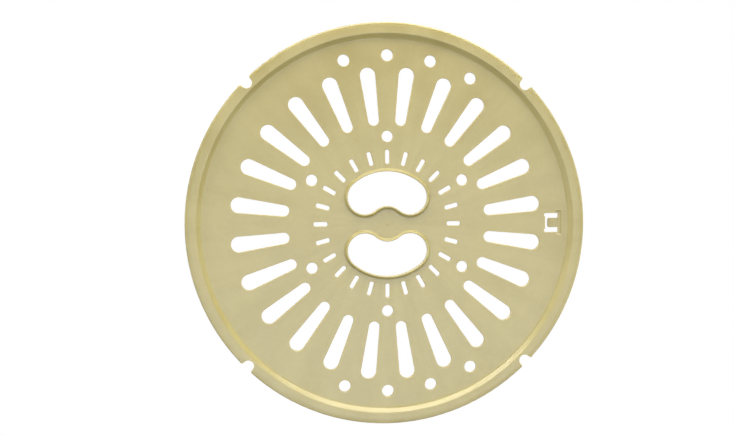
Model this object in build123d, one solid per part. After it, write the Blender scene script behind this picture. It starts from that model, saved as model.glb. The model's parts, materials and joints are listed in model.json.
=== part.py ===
from build123d import *
import os
from math import asin, degrees, radians, tan

# Inner cover of a spin dryer: one round moulding that lies over the laundry in the drum,
# and the small latch tongue that flexes in a window at its edge.
# Millimetres. +Z is up, out of the drum. The origin is the centre of the flat underside,
# and +X points at the latch. Angles are in degrees, anticlockwise from +X seen from above.

# ---- the moulding's section ----
overall_diameter = 250.0
plate_thickness = 2.2  # one wall thickness everywhere
rim_rise = 3.0  # the flange's top above the plate's top
step_width = 2.6  # radial run of the sloping step between plate and flange
flange_width = 6.8  # from the step's upper corner to the outside
foot_radius = 1.2  # hollow curve where the plate turns up into the step
brow_radius = 0.9  # on the corner where the step turns out into the flange
brow_hollow_radius = 0.6  # under that corner
curl_width = 2.6  # outer part of the flange, which turns down
curl_drop = 0.3
curl_radius = 8.0
rim_top_round = 0.9
rim_bottom_round = 0.5

# ---- finger holes, one each side of the grip bridge ----
bridge_width = 11.8  # narrowest flat strip between the two holes
finger_hole_inner_radius = 11.1  # round boss in the middle of the bridge
finger_hole_outer_radius = 32.75
lip_rise = 1.7  # the raised lip round each hole, above the plate
lip_crest_width = 0.8
lip_slope = 35.0  # how far the lip's outer side leans from upright
lip_foot_radius = 0.6
lip_crest_radius = 0.45

# ---- rays of slots and round holes ----
ray_count = 24
short_slot_gap = 2.15  # from the lip's foot to the short slots
short_slot_length = 8.7
short_slot_width = 2.7
short_slot_corner = 1.1
middle_hole_gap = 4.85  # from the short slots to the middle holes
middle_hole_count = 6
middle_hole_diameter = 7.0
long_slot_gap = 3.65  # from the middle holes to the long slots
long_slot_inner_width = 6.8
long_slot_outer_width = 9.7
long_slot_margin = 17.7  # from the long slots' outer ends to the step
edge_hole_count = 4  # on each side of the X axis
edge_hole_first_angle = 60.0
edge_hole_diameter = 7.4
edge_hole_margin = 10.7  # from the edge holes' centres to the step
edge_break = 0.35  # soft edge on the upper side of every cut-out

# ---- notches in the rim ----
notch_count = 4
notch_width = 6.8
notch_depth = 5.5  # from the outside to the notch's bottom
notch_flare = 0.45  # how much further out each side stands at the outside
notch_corner_radius = 1.2

# ---- latch ----
window_margin = 6.3  # from the window to the step
window_length = 8.5
window_width = 12.0
window_relief_radius = 1.1  # rounded relief in the two inner corners
window_relief_offset = 0.4
tongue_width = 6.0
tongue_thickness = 1.0
tongue_tip_gap = 1.7
tongue_tip_radius = 1.2
tongue_ground_gap = 0.3  # the tongue's underside above the plate's underside
catch_rise = 0.4  # low rounded ridge across the tongue near its tip
catch_width = 1.8
catch_inset = 2.0
hinge_clearance = 0.05
hinge_roof = 0.35  # wall left over the hinge line
pocket_width = 15.6  # shallow sunk field between the window and the step
pocket_margin = 4.3  # from the pocket to the step
pocket_corner_radius = 1.0
pocket_slope = 60.0  # how far the pocket's sides lean from upright

# ---- moulding marks on the upper side ----
gate_ring_radius = 3.4
gate_ring_width = 0.5
gate_nub_radius = 0.8
gate_nub_rise = 0.25
gate_nub_bevel = 0.2
pin_mark_radius = 2.2
mark_depth = 0.12
edge_pin_angles = (52.5, 112.5, 180.0, 247.5, 307.5)
middle_pin_angles = (52.5, 127.5, 232.5, 307.5)

# ---- worked out ----
overall_radius = overall_diameter / 2
brow_distance = overall_radius - flange_width
foot_distance = brow_distance - step_width
flange_top = plate_thickness + rim_rise
cut_margin = 5.0  # cutters stand this far past the solid
level_tolerance = 0.01  # edges this close to a height count as lying at it
ray_pitch = 360 / ray_count

finger_lobe_radius = (finger_hole_outer_radius - finger_hole_inner_radius) / 2
finger_line_radius = finger_hole_inner_radius + finger_lobe_radius
finger_lobe_angle = degrees(asin((bridge_width / 2 + finger_lobe_radius) / finger_line_radius))
lip_lean = lip_rise * tan(radians(lip_slope))
lip_reach = finger_hole_outer_radius + lip_crest_width + lip_lean + lip_foot_radius

short_slot_start = lip_reach + short_slot_gap
short_slot_end = short_slot_start + short_slot_length
middle_hole_distance = short_slot_end + middle_hole_gap + middle_hole_diameter / 2
long_slot_start = middle_hole_distance + middle_hole_diameter / 2 + long_slot_gap
long_slot_end = foot_distance - long_slot_margin
edge_hole_distance = foot_distance - edge_hole_margin

window_end = foot_distance - window_margin
window_start = window_end - window_length
tongue_start = window_start + tongue_tip_gap
hinge_radius = tongue_thickness / 2
hinge_height = tongue_ground_gap + hinge_radius
pocket_end = foot_distance - pocket_margin
pocket_floor = hinge_height + hinge_radius + hinge_clearance + hinge_roof
pocket_depth = plate_thickness - pocket_floor


def polar(distance, angle):
    """A place at a distance from the centre, turned to face outwards."""
    return Rot(0, 0, angle) * Pos(distance, 0, 0)


def through(sketch):
    """A cutter of this outline, right through the plate and the rim."""
    return Pos(0, 0, -cut_margin) * extrude(sketch, amount=flange_top + 2 * cut_margin)


def flat_edges(solid, height, reach):
    """Edges that lie at this height and have their middle within a reach of the centre."""
    lowest, highest = height - level_tolerance, height + level_tolerance
    level = solid.edges().filter_by_position(Axis.Z, lowest, highest)
    return [edge for edge in level if Vector((edge @ 0.5).X, (edge @ 0.5).Y).length < reach]


def rounded(section, corner, radius):
    """The section with its vertex at this corner rounded."""
    return fillet(section.vertices().sort_by_distance(corner)[0], radius)


def moulding_blank():
    """Plate, step and flange of one wall thickness, turned about Z."""
    slope_beyond = curl_drop / curl_width
    foot = (foot_distance, plate_thickness)
    brow = (brow_distance, flange_top)
    curl = (overall_radius - curl_width, flange_top)
    end = (overall_radius + cut_margin, flange_top - curl_drop - slope_beyond * cut_margin)
    top_line = Polyline((0, plate_thickness), foot, brow, curl, end)
    outline = offset(
        top_line, amount=plate_thickness, kind=Kind.INTERSECTION, side=Side.RIGHT, closed=True
    )
    section = make_face(outline.wires()[0])
    section &= Rectangle(overall_radius, 2 * overall_radius, align=(Align.MIN, Align.CENTER))
    lower, upper = section.edges().sort_by(Axis.X)[-1].vertices().sort_by(Axis.Y)
    section = rounded(section, upper, rim_top_round)
    section = rounded(section, lower, rim_bottom_round)
    for corner, upper_radius, lower_radius in (
        (foot, foot_radius, foot_radius + plate_thickness),
        (brow, brow_radius, brow_hollow_radius),
        (curl, curl_radius + plate_thickness, curl_radius),
    ):
        upper, lower = section.vertices().sort_by_distance(corner)[:2]
        section = rounded(section, upper, upper_radius)
        section = rounded(section, lower, lower_radius)
    return revolve(Plane.XZ * section, Axis.Z)


def long_slot():
    """Tapered slot with round ends, wider towards the rim."""
    inner_radius = long_slot_inner_width / 2
    outer_radius = long_slot_outer_width / 2
    inner_end = Pos(long_slot_start + inner_radius, 0) * Circle(inner_radius)
    outer_end = Pos(long_slot_end - outer_radius, 0) * Circle(outer_radius)
    return make_hull((inner_end + outer_end).edges())


def short_slot():
    """Narrow slot with rounded corners."""
    middle = (short_slot_start + short_slot_end) / 2
    return Pos(middle, 0) * RectangleRounded(short_slot_length, short_slot_width, short_slot_corner)


def ray_cutters():
    """Every slot and round hole of the plate."""
    cutters = []
    for ray in range(ray_count):
        cutters.append(Rot(0, 0, (ray + 0.5) * ray_pitch) * through(long_slot()))
        cutters.append(Rot(0, 0, ray * ray_pitch) * through(short_slot()))
    middle_pitch = 360 / middle_hole_count
    for place in range(middle_hole_count):
        angle = (place + 0.5) * middle_pitch
        cutters.append(polar(middle_hole_distance, angle) * through(Circle(middle_hole_diameter / 2)))
    for place in range(edge_hole_count):
        for side in (1, -1):
            angle = side * (edge_hole_first_angle + place * ray_pitch)
            cutters.append(polar(edge_hole_distance, angle) * through(Circle(edge_hole_diameter / 2)))
    return cutters


def finger_hole(side):
    """Outline of one finger hole: a wide slot bent round the centre, on the +Y or -Y side."""
    middle_line = CenterArc(
        (0, 0), finger_line_radius, side * finger_lobe_angle, side * (180 - 2 * finger_lobe_angle)
    )
    return SlotArc(middle_line, 2 * finger_lobe_radius)


def finger_lip(side):
    """The raised lip round one finger hole, filled until the hole is cut."""
    outline = offset(finger_hole(side), lip_crest_width + lip_lean)
    return extrude(Pos(0, 0, plate_thickness) * outline, amount=lip_rise, taper=lip_slope)


def notch():
    """Outline of one rim notch: a round bottom and sides that open outwards."""
    bottom = Pos(overall_radius - notch_depth + notch_width / 2, 0) * Circle(notch_width / 2)
    mouth_width = notch_width + 2 * notch_flare
    mouth = Pos(overall_radius + notch_flare, 0) * Rectangle(2 * notch_flare, mouth_width)
    return make_hull((bottom + mouth).edges())


def rim_plan():
    """The cover seen from above without its holes: a circle with round-cornered notches."""
    plan = Circle(overall_radius)
    for place in range(notch_count):
        plan -= Rot(0, 0, (place + 0.5) * 360 / notch_count) * notch()
    rim_reach = overall_radius - notch_flare
    mouth_corners = [corner for corner in plan.vertices() if Vector(corner).length > rim_reach]
    return fillet(mouth_corners, notch_corner_radius)


def latch_window():
    """Outline of the window that the tongue moves in, with reliefs in its inner corners."""
    outline = Pos(window_end, 0) * Rectangle(window_length, window_width, align=(Align.MAX, Align.CENTER))
    for side in (1, -1):
        relief_y = side * (window_width / 2 - window_relief_radius)
        outline += Pos(window_start + window_relief_offset, relief_y) * Circle(window_relief_radius)
    return outline


def latch_pocket():
    """Shallow sunk field with sloping sides, open into the window."""
    length = pocket_end - window_end
    centre = Pos(window_end, 0, plate_thickness)
    outline = centre * RectangleRounded(2 * length, pocket_width, pocket_corner_radius)
    return extrude(outline, amount=-pocket_depth, taper=pocket_slope)


def hinge_line(radius, width):
    """A cylinder on the tongue's hinge line, along Y."""
    return Pos(window_end, 0, hinge_height) * Rot(90, 0, 0) * Cylinder(radius, width)


def moulding_marks():
    """Shallow sunk ring left by the gate, and sunk discs left by the ejector pins."""
    outlines = [Circle(gate_ring_radius + gate_ring_width) - Circle(gate_ring_radius)]
    for angle in edge_pin_angles:
        outlines.append(polar(edge_hole_distance, angle) * Circle(pin_mark_radius))
    for angle in middle_pin_angles:
        outlines.append(polar(middle_hole_distance, angle) * Circle(pin_mark_radius))
    floor = Pos(0, 0, plate_thickness - mark_depth)
    return [floor * extrude(outline, amount=mark_depth + cut_margin) for outline in outlines]


def gate_nub():
    """Low round stub in the middle, where the plastic entered the mould."""
    stub = Cylinder(gate_nub_radius, gate_nub_rise, align=(Align.CENTER, Align.CENTER, Align.MIN))
    stub = chamfer(stub.edges().sort_by(Axis.Z)[-1], gate_nub_bevel)
    return Pos(0, 0, plate_thickness) * stub


def cover_disc():
    """The whole moulding without its tongue."""
    disc = moulding_blank() - ray_cutters()
    disc = fillet(flat_edges(disc, plate_thickness, foot_distance - foot_radius), edge_break)

    disc += finger_lip(1) + finger_lip(-1)
    disc = fillet(flat_edges(disc, plate_thickness, lip_reach), lip_foot_radius)
    disc -= [through(finger_hole(1)), through(finger_hole(-1))]
    disc = fillet(flat_edges(disc, plate_thickness + lip_rise, lip_reach), lip_crest_radius)

    disc &= through(rim_plan())
    disc -= [latch_pocket(), through(latch_window())]
    disc -= hinge_line(hinge_radius + hinge_clearance, tongue_width + 2 * hinge_clearance)
    disc -= moulding_marks()
    return disc + gate_nub()


def latch_tongue():
    """Flat springy tongue, round at its root, with a low catch across it near the tip."""
    length = window_end - tongue_start
    blade = Pos(window_end, 0) * Rectangle(length, tongue_width, align=(Align.MAX, Align.CENTER))
    blade = fillet(blade.vertices().group_by(Axis.X)[0], tongue_tip_radius)
    tongue = Pos(0, 0, tongue_ground_gap) * extrude(blade, amount=tongue_thickness)
    tongue += hinge_line(hinge_radius, tongue_width)
    ridge_place = Pos(tongue_start + catch_inset, 0, tongue_ground_gap + tongue_thickness)
    ridge = ridge_place * Box(catch_width, tongue_width, 2 * catch_rise)
    ridge = fillet(ridge.edges().filter_by(Axis.Y).group_by(Axis.Z)[-1], catch_rise)
    return tongue + ridge


os.makedirs("parts", exist_ok=True)
export_step(cover_disc(), "parts/cover_disc.step")
export_step(latch_tongue(), "parts/latch_tongue.step")
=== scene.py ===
import json
import math

import bpy
from mathutils import Matrix, Vector


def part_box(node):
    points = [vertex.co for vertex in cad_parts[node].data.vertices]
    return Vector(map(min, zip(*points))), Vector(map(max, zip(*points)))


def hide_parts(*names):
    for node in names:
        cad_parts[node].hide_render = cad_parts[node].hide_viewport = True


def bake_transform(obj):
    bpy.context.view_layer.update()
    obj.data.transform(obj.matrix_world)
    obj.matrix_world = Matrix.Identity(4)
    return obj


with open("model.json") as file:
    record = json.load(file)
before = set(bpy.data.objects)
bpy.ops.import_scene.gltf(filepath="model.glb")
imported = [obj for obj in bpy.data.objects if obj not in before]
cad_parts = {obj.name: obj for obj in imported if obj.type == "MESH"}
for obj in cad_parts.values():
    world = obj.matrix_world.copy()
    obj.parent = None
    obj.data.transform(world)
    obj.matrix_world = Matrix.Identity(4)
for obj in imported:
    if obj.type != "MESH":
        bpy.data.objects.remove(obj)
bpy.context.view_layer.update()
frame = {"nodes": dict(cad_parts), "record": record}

# Metres, Z up, the cover lying on its flat underside. +X points at the latch.
MM = 0.001
COVER = "cover_disc"
TONGUE = "latch_tongue"
cover_low, cover_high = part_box(COVER)
tongue_low, tongue_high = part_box(TONGUE)
overall_radius = cover_high.x
hinge = Vector(frame["record"]["behaviour"]["joints"][0]["pos_m"])

# ---- camera ----
LENS_MM = 50.0
CAMERA_PLACE = Vector((-79.3, 25.2, 633.3)) * MM
CAMERA_TARGET = Vector((-12.9, 3.7, 2.2)) * MM
CAMERA_ROLL = math.radians(-0.2)
CLIP_NEAR = 10 * MM
CLIP_FAR = 10.0

# ---- light: name, place, width, height, power in watts, colour ----
FLOOR_GLOW = 1.0
WORLD_GLOW = 0.49
SOFT_LIGHTS = (
    ("far_window", (0, 2.0, 1.3), 4.0, 1.0, 42.0, (1, 1, 1)),
    ("far_sill", (0, 2.0, 0.35), 4.0, 0.7, 55.0, (1, 1, 1)),
    ("edge_lamp", (0, 0.25, 0.09), 0.36, 0.04, 0.2, (1, 0.78, 0.3)),
    ("overhead", (0.1, -0.45, 2.0), 1.8, 1.2, 18.0, (0.97, 0.98, 1)),
    ("left_wall", (-2.0, 0, 0.8), 3.0, 1.0, 13.5, (1, 1, 1)),
    ("right_wall", (2.0, 0, 0.8), 3.0, 1.0, 17.0, (1, 1, 1)),
)

# ---- floor ----
FLOOR_HALF = 3.0
FLOOR_DROP = 0.05 * MM

# ---- plastic ----
DEEP_TONE = (0.33, 0.28, 0.095)
PALE_TONE = (0.38, 0.33, 0.135)
# Painted shade: the deeper, more saturated yellow of the ring at the foot of the step, where the hollow
# lies in shade.
PAINTED_SHADE_TONE = (0.44, 0.37, 0.10)
SPECULAR_LEVEL = 1.0
REFRACTIVE_INDEX = 1.49
SCATTER_DEPTH = 1.6 * MM
SCATTER_COLOUR = (1.0, 0.92, 0.75)
ROUGHNESS_RANGE = (0.31, 0.42)
CLOUD_SCALE = 22.0
CLOUD_DETAIL = 4.0
CLOUD_ROUGHNESS = 0.55
STREAK_TURN_SCALE = 7.0
STREAK_REACH_SCALE = 14.0
POLAR_DETAIL = 3.0
SPECK_SCALE = 700.0
SPECK_ROUGHNESS = 0.6
FINE_DETAIL = 2.0
GRAIN_SCALE = 2600.0
GRAIN_DEPTH = 0.012 * MM
WAVE_SCALE = 55.0
WAVE_DETAIL = 1.0
WAVE_DEPTH = 0.12 * MM
RUB_REACH_SCALE = 1400.0
RUB_TURN_SCALE = 9.0
RUB_BAND = (cover_high.z - 1.0 * MM, cover_high.z - 0.3 * MM)
# Ring of painted shade at the step's foot: its middle radius, how far it reaches either side, and how
# strongly it tints the colour.
PAINTED_SHADE_RADIUS = overall_radius - 9.2 * MM
PAINTED_SHADE_WIDTH = 2.2 * MM
PAINTED_SHADE_SHARE = 0.3
WORN_SHARE = 0.25
CLOUD_SHARE = 0.55
STREAK_SHARE = 0.3
SPECK_SHARE = 0.15
TONE_LIMITS = (0.36, 0.64)
RUB_LIMITS = (0.52, 0.68)
RUB_ROUGHENING = 0.2
ROUGHNESS_LIMITS = (0.3, 0.75)

# ---- tongue ----
TONGUE_EDGE_ROUND = 0.15 * MM
TONGUE_TIP_ROUND = 1.2 * MM
TONGUE_STATIONS = 72
CORNER_STEPS = 4
WIDTH_STEPS = 6
CATCH_PLACE = 2.0 * MM
CATCH_HALF_WIDTH = 0.9 * MM


def emptied_tree(material):
    """The material's node tree, with nothing in it."""
    material.use_nodes = True
    tree = material.node_tree
    tree.nodes.clear()
    return tree


class Graph:
    """Adds nodes to a tree and links them in one call."""

    def __init__(self, tree):
        self.tree = tree

    def add(self, kind, settings=None, **sockets):
        """A new node. A socket goes by its name, or by i and its place; its value is a plain value
        or another node's output."""
        node = self.tree.nodes.new("ShaderNode" + kind)
        for name, value in (settings or {}).items():
            setattr(node, name, value)
        for name, value in sockets.items():
            numbered = name[0] == "i" and name[1:].isdigit()
            place = int(name[1:]) if numbered else name.replace("_", " ")
            if isinstance(value, bpy.types.NodeSocket):
                self.tree.links.new(value, node.inputs[place])
            else:
                node.inputs[place].default_value = value
        return node

    def math(self, operation, first, second=0.0):
        """The result of a sum on two numbers."""
        return self.add("Math", {"operation": operation}, i0=first, i1=second).outputs[0]

    def vector(self, operation, first, second=(0, 0, 0)):
        """The result of a sum on two vectors."""
        return self.add("VectorMath", {"operation": operation}, i0=first, i1=second).outputs[0]

    def ramp(self, value, low, high, start=0.0, end=1.0):
        """Value taken from low..high to start..end, smoothly and within them."""
        settings = {"interpolation_type": "SMOOTHSTEP"}
        node = self.add("MapRange", settings, Value=value, i1=low, i2=high, i3=start, i4=end)
        return node.outputs["Result"]

    def noise(self, place, scale, detail, roughness=0.5):
        """Even noise from 0 to 1."""
        node = self.add("TexNoise", None, Vector=place, Scale=scale, Detail=detail, Roughness=roughness)
        return node.outputs["Fac"]

    def mix(self, factor, first, second):
        """A colour between two colours."""
        node = self.add("Mix", {"data_type": "RGBA"}, i0=factor, i6=first, i7=second)
        return node.outputs[2]


def plastic(name):
    """Satin beige polypropylene: cloudy, faintly streaked outwards from the gate, a little worn, with
    painted shade: a deeper yellow ring at the foot of the step.
    """
    material = bpy.data.materials.new(name)
    graph = Graph(emptied_tree(material))
    place = graph.add("TexCoord").outputs["Object"]
    split = graph.add("SeparateXYZ", None, Vector=place)
    flat = graph.vector("MULTIPLY", place, (1, 1, 0))
    reach = graph.add("VectorMath", {"operation": "LENGTH"}, i0=flat).outputs["Value"]
    turn = graph.vector("NORMALIZE", flat)

    def polar_noise(turn_scale, reach_scale):
        """Noise stretched along rays or along circles round the middle."""
        along = graph.math("MULTIPLY", reach, reach_scale)
        column = graph.add("CombineXYZ", None, Z=along).outputs[0]
        around = graph.vector("MULTIPLY", turn, (turn_scale, turn_scale, 0))
        return graph.noise(graph.vector("ADD", around, column), 1.0, POLAR_DETAIL)

    clouds = graph.noise(place, CLOUD_SCALE, CLOUD_DETAIL, CLOUD_ROUGHNESS)
    streaks = polar_noise(STREAK_TURN_SCALE, STREAK_REACH_SCALE)
    specks = graph.noise(place, SPECK_SCALE, FINE_DETAIL, SPECK_ROUGHNESS)
    grain = graph.noise(place, GRAIN_SCALE, FINE_DETAIL)
    waves = graph.noise(place, WAVE_SCALE, WAVE_DETAIL)
    rubs = polar_noise(RUB_TURN_SCALE, RUB_REACH_SCALE)

    on_flange = graph.ramp(split.outputs["Z"], *RUB_BAND)
    worn = graph.math("MULTIPLY", on_flange, graph.ramp(rubs, *RUB_LIMITS))
    # Painted shade: a mask for the ring round the step's foot, strongest at its middle radius.
    off_painted_shade = graph.math("ABSOLUTE", graph.math("SUBTRACT", reach, PAINTED_SHADE_RADIUS))
    painted_shade = graph.ramp(off_painted_shade, 0.0, PAINTED_SHADE_WIDTH, 1.0, 0.0)

    blend = graph.math("MULTIPLY", clouds, CLOUD_SHARE)
    blend = graph.math("ADD", blend, graph.math("MULTIPLY", streaks, STREAK_SHARE))
    blend = graph.math("ADD", blend, graph.math("MULTIPLY", specks, SPECK_SHARE))
    blend = graph.ramp(blend, *TONE_LIMITS)
    colour = graph.mix(blend, (*DEEP_TONE, 1), (*PALE_TONE, 1))
    # Tints the ring at the step's foot towards the painted shade colour.
    colour = graph.mix(graph.math("MULTIPLY", painted_shade, PAINTED_SHADE_SHARE), colour, (*PAINTED_SHADE_TONE, 1))
    colour = graph.mix(graph.math("MULTIPLY", worn, WORN_SHARE), colour, (*PALE_TONE, 1))

    uneven = graph.math("ADD", clouds, graph.math("MULTIPLY", worn, RUB_ROUGHENING))
    roughness = graph.ramp(uneven, *ROUGHNESS_LIMITS, *ROUGHNESS_RANGE)
    wavy = graph.add("Bump", None, Strength=1.0, Distance=WAVE_DEPTH, Height=waves).outputs[0]
    bump = graph.add("Bump", None, Strength=1.0, Distance=GRAIN_DEPTH, Height=grain, Normal=wavy)
    surface = bump.outputs[0]

    shader = graph.add("BsdfPrincipled", None, Base_Color=colour, Roughness=roughness, Normal=surface)
    shader.inputs["IOR"].default_value = REFRACTIVE_INDEX
    shader.inputs["Specular IOR Level"].default_value = SPECULAR_LEVEL
    shader.inputs["Subsurface Weight"].default_value = 1.0
    shader.inputs["Subsurface Radius"].default_value = SCATTER_COLOUR
    shader.inputs["Subsurface Scale"].default_value = SCATTER_DEPTH
    graph.add("OutputMaterial", None, Surface=shader.outputs[0])
    return material


def tongue_profile(along):
    """(half width, lowest, highest) of the tongue's section at this distance along X."""
    root_radius = tongue_high.x - hinge.x
    half_width = tongue_high.y
    from_tip = along - tongue_low.x
    if from_tip < TONGUE_TIP_ROUND:
        inset = TONGUE_TIP_ROUND - from_tip
        half_width -= TONGUE_TIP_ROUND - math.sqrt(max(TONGUE_TIP_ROUND**2 - inset**2, 0))
    half_height = root_radius
    if along > hinge.x:
        half_height = math.sqrt(max(root_radius**2 - (along - hinge.x) ** 2, 0))
    catch_rise = tongue_high.z - tongue_low.z - 2 * root_radius
    off_crest = abs(from_tip - CATCH_PLACE) - (CATCH_HALF_WIDTH - catch_rise)
    rise = 0.0
    if off_crest < catch_rise:
        rise = math.sqrt(catch_rise**2 - max(off_crest, 0) ** 2)
    return half_width, hinge.z - half_height, hinge.z + half_height + rise


def tongue_section(along):
    """Points round the tongue's section, a rectangle with rounded corners."""
    half_width, low, high = tongue_profile(along)
    corner = min(TONGUE_EDGE_ROUND, (high - low) / 2, half_width)
    reach = half_width - corner
    points = []
    for quarter, (side, centre_z) in enumerate(
        ((1, high - corner), (-1, high - corner), (-1, low + corner), (1, low + corner))
    ):
        for step in range(CORNER_STEPS + 1):
            angle = math.radians(90 * (quarter + step / CORNER_STEPS))
            y = side * reach + corner * math.cos(angle)
            points.append(Vector((along, y, centre_z + corner * math.sin(angle))))
        if quarter in (0, 2):
            for step in range(1, WIDTH_STEPS):
                y = side * reach * (1 - 2 * step / WIDTH_STEPS)
                points.append(Vector((along, y, points[-1].z)))
    return points


def add_tongue(material):
    """The tongue as one piece that grows out of the window's outer side, rounded off at its root."""
    corners = []
    faces = []
    length = tongue_high.x - tongue_low.x
    for station in range(TONGUE_STATIONS + 1):
        share = (1 - math.cos(math.pi * station / TONGUE_STATIONS)) / 2
        corners.append(tongue_section(tongue_low.x + share * length))
    count = len(corners[0])
    for station in range(TONGUE_STATIONS):
        for point in range(count):
            here = station * count + point
            beside = station * count + (point + 1) % count
            faces.append((here, beside, beside + count, here + count))
    faces.append(tuple(range(count)))
    faces.append(tuple(reversed(range(TONGUE_STATIONS * count, (TONGUE_STATIONS + 1) * count))))
    mesh = bpy.data.meshes.new("tongue")
    mesh.from_pydata([point for section in corners for point in section], [], faces)
    mesh.flip_normals()
    mesh.shade_smooth()
    mesh.materials.append(material)
    tongue = bpy.data.objects.new("springy_tongue", mesh)
    bpy.context.scene.collection.objects.link(tongue)
    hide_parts(TONGUE)
    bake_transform(tongue)


def add_floor():
    """A pale sheet that glows evenly, so that it shows white without shadows."""
    mesh = bpy.data.meshes.new("floor")
    corners = [(x * FLOOR_HALF, y * FLOOR_HALF, 0) for x, y in ((-1, -1), (1, -1), (1, 1), (-1, 1))]
    mesh.from_pydata(corners, [], [(0, 1, 2, 3)])
    floor = bpy.data.objects.new("floor", mesh)
    bpy.context.scene.collection.objects.link(floor)
    floor.location.z = -FLOOR_DROP
    material = bpy.data.materials.new("floor_white")
    graph = Graph(emptied_tree(material))
    glow = graph.add("Emission", None, Strength=FLOOR_GLOW).outputs[0]
    graph.add("OutputMaterial", None, Surface=glow)
    mesh.materials.append(material)


def add_lights():
    """A wide window beyond the far edge, soft light overhead and from the sides, pale surroundings."""
    world = bpy.data.worlds.new("studio")
    world.use_nodes = True
    background = world.node_tree.nodes["Background"]
    background.inputs["Color"].default_value = (1, 1, 1, 1)
    background.inputs["Strength"].default_value = WORLD_GLOW
    bpy.context.scene.world = world
    for name, place, width, height, power, colour in SOFT_LIGHTS:
        data = bpy.data.lights.new(name, "AREA")
        data.shape = "RECTANGLE"
        data.size = width
        data.size_y = height
        data.energy = power
        data.color = colour
        light = bpy.data.objects.new(name, data)
        light.visible_camera = False
        light.location = place
        light.rotation_mode = "QUATERNION"
        light.rotation_quaternion = (-Vector(place)).to_track_quat("-Z", "Y")
        bpy.context.scene.collection.objects.link(light)


def add_camera():
    """Looks down on the cover, a little from its upper left, with +Y up in the picture."""
    data = bpy.data.cameras.new("camera")
    data.lens = LENS_MM
    data.clip_start = CLIP_NEAR
    data.clip_end = CLIP_FAR
    camera = bpy.data.objects.new("camera", data)
    bpy.context.scene.collection.objects.link(camera)
    back = (CAMERA_PLACE - CAMERA_TARGET).normalized()
    right = Vector((0, 1, 0)).cross(back).normalized()
    axes = Matrix((right, back.cross(right), back)).transposed().to_4x4()
    camera.matrix_world = Matrix.Translation(CAMERA_PLACE) @ axes @ Matrix.Rotation(CAMERA_ROLL, 4, "Z")
    bpy.context.scene.camera = camera


cover_plastic = plastic("cover_plastic_satin")
frame["nodes"][COVER].material_slots[0].material = cover_plastic
add_tongue(cover_plastic)
add_floor()
add_lights()
add_camera()
bpy.context.scene.view_settings.view_transform = "Standard"
